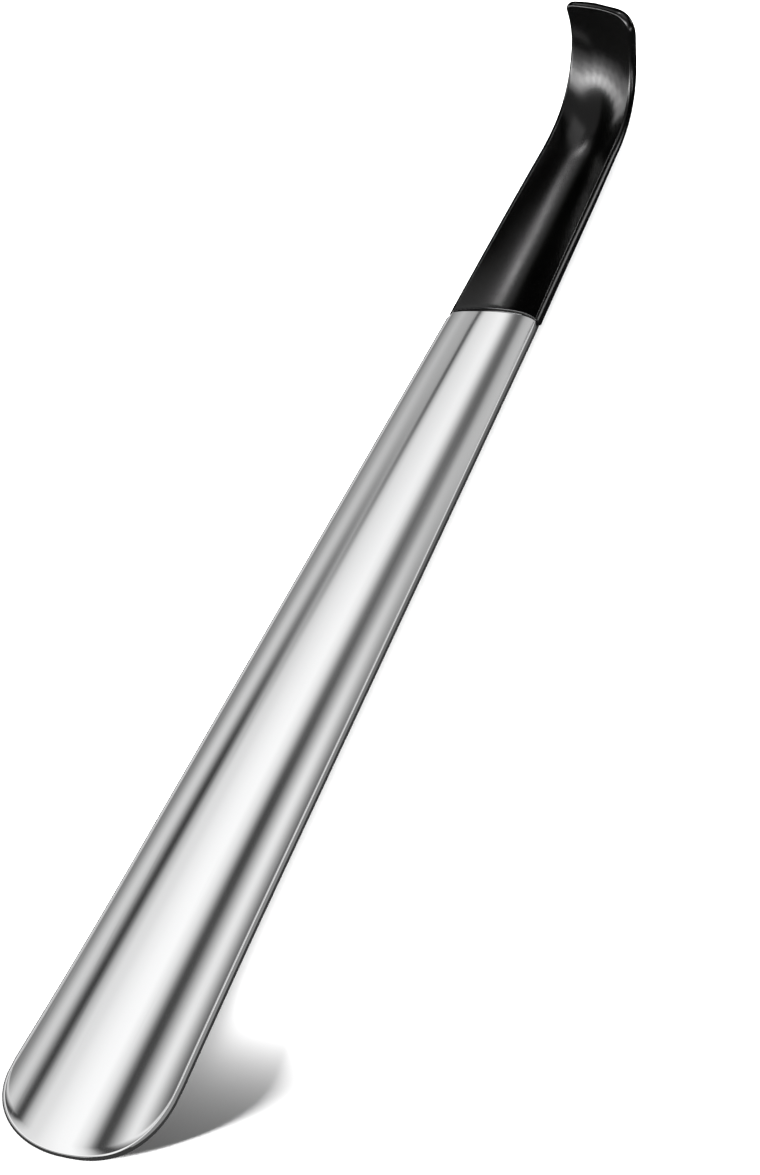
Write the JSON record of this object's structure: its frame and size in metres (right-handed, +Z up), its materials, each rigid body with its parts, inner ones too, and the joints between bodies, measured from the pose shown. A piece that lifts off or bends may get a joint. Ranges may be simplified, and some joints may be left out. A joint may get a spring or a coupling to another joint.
{
  "type": "long shoehorn",
  "caption": "Long shoehorn: a shallow polished steel channel blade with a wide rounded tip, and a glossy black plastic handle of the same section that ends in a scooped hook.",
  "frame": {"origin": "under the middle of the overall length and width, on the surface that the shoehorn lies on", "axes": "+Y from the blade's rounded tip towards the hooked handle, +Z up out of the channel's hollow side, X across the width"},
  "size_m": [0.0476, 0.4228, 0.0342],
  "materials": {
    "polished_steel": "polished stainless steel with a very fine lengthwise grain",
    "black_plastic": "glossy moulded black",
    "cured_adhesive": "cured adhesive film, hidden"
  },
  "bodies": {
    "root": {"blade": "polished_steel", "handle": "black_plastic", "tang_adhesive": "cured_adhesive"}
  },
  "joints": []
}
